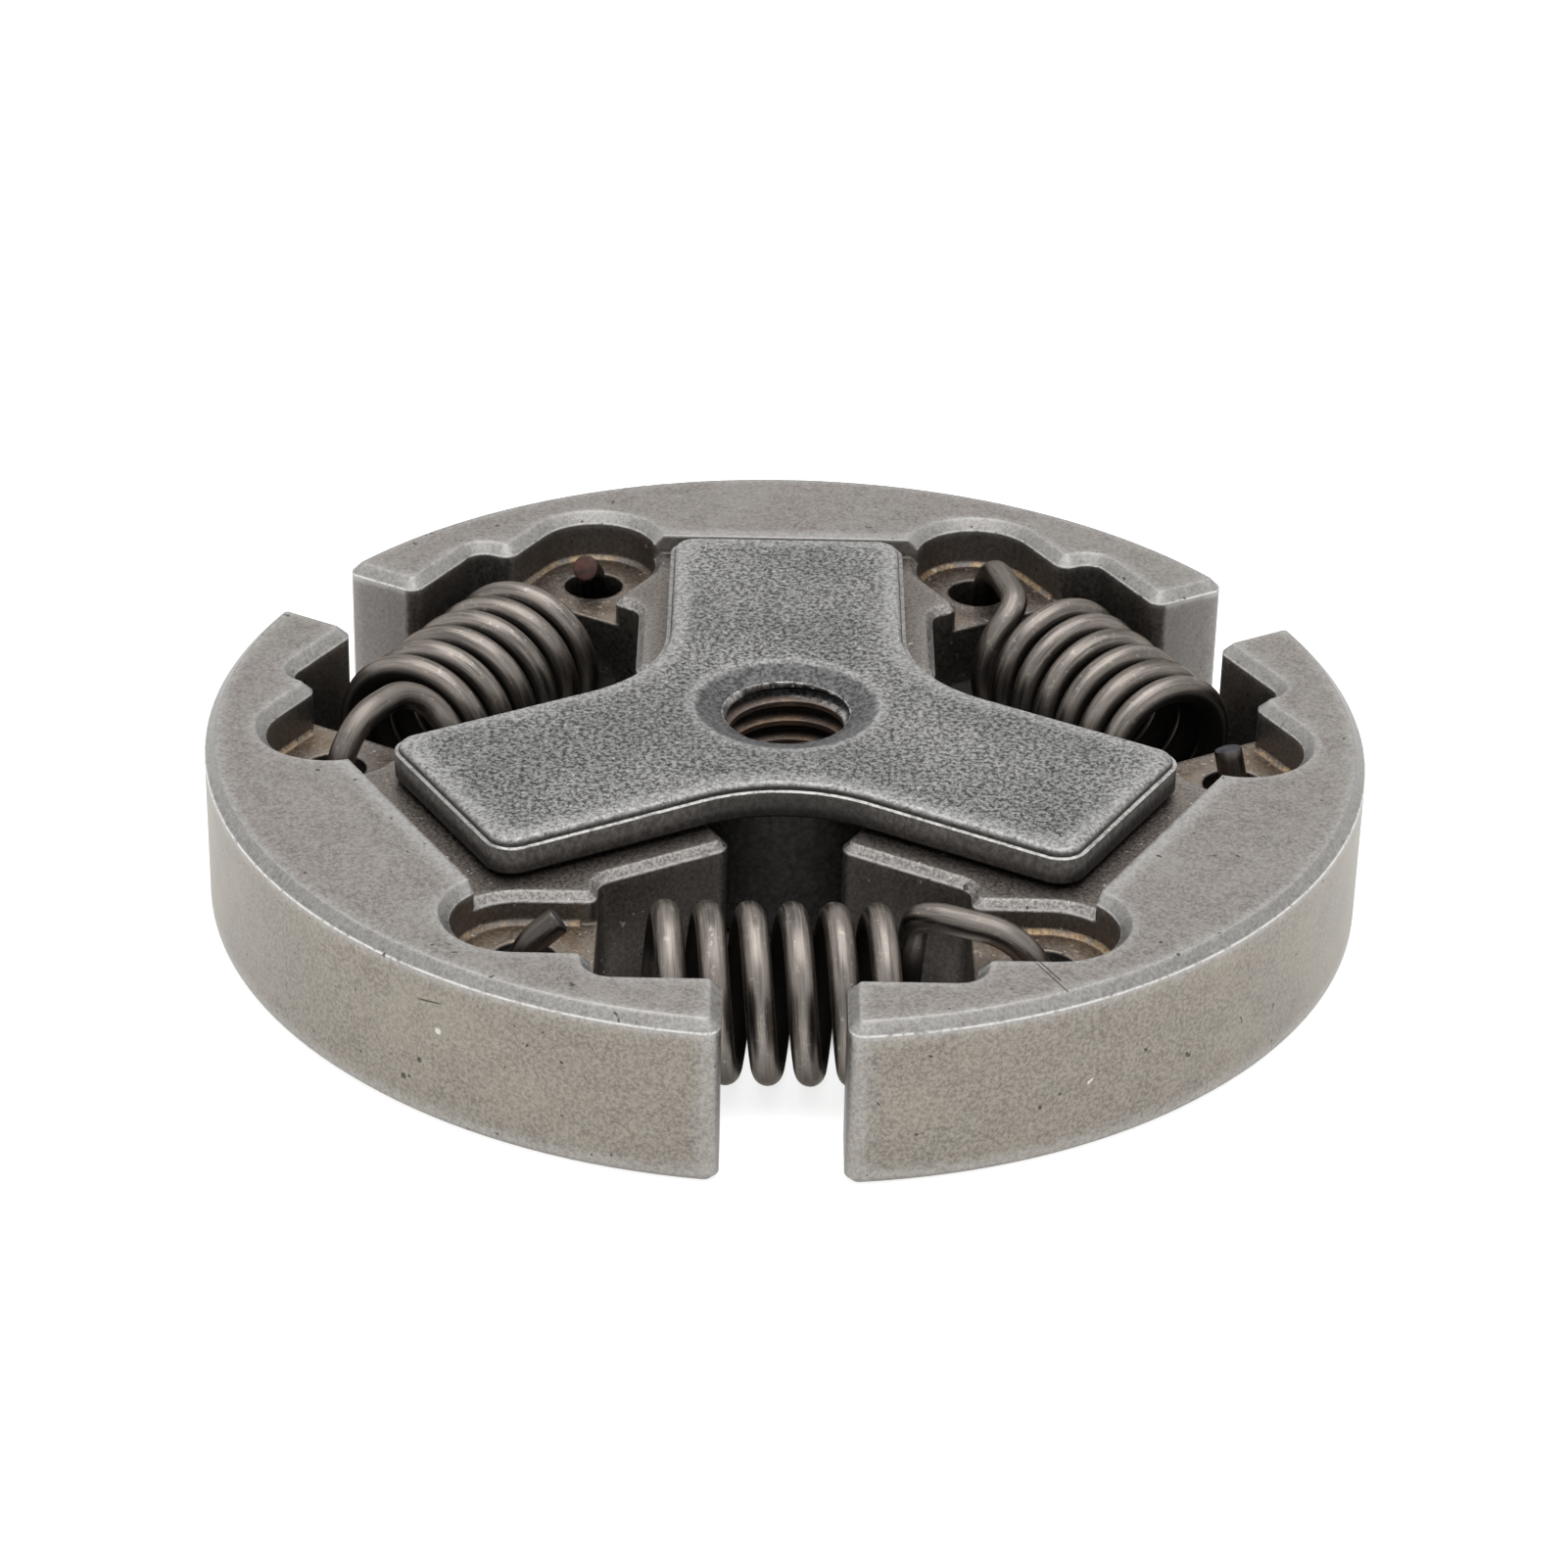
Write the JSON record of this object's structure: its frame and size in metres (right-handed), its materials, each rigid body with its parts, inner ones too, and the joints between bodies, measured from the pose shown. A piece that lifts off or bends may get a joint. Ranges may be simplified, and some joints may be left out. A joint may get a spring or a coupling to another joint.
{
  "type": "centrifugal chainsaw clutch",
  "caption": "Round centrifugal clutch: a threaded hub with a Y-shaped plate, sliding sintered shoes around it and helical tension springs that pull the shoes inward.",
  "frame": {"origin": "on the thread axis, in the plane of the shoes' bases", "axes": "+Z along the thread axis towards the Y-shaped plate, +Y along the arm of shoe_back, +X to the right"},
  "size_m": [0.066, 0.0657, 0.0108],
  "materials": {
    "hub_steel": "sintered steel, steam-treated dark grey, worn pale along the edges",
    "shoe_steel": "sintered steel, warm grey, ground pale rim",
    "spring_wire": "oil-tempered spring wire, dark brown-grey"
  },
  "bodies": {
    "hub": {"hub": "hub_steel", "spring_front": "spring_wire", "spring_left": "spring_wire", "spring_right": "spring_wire"},
    "shoe_back": {"shoe_back": "shoe_steel"},
    "shoe_left": {"shoe_left": "shoe_steel"},
    "shoe_right": {"shoe_right": "shoe_steel"}
  },
  "joints": [
    {"name": "shoe_back_slide", "type": "slide", "parent": "hub", "child": "shoe_back", "axis": [0, 1, 0], "range_m": [0, 0.001], "stiffness_N_per_m": 20000, "springref_m": -0.005, "deforming": ["spring_left", "spring_right"]},
    {"name": "shoe_left_slide", "type": "slide", "parent": "hub", "child": "shoe_left", "axis": [-0.866, -0.5, 0], "range_m": [0, 0.001], "stiffness_N_per_m": 20000, "springref_m": -0.005, "deforming": ["spring_left", "spring_front"]},
    {"name": "shoe_right_slide", "type": "slide", "parent": "hub", "child": "shoe_right", "axis": [0.866, -0.5, 0], "range_m": [0, 0.001], "stiffness_N_per_m": 20000, "springref_m": -0.005, "deforming": ["spring_front", "spring_right"]}
  ]
}
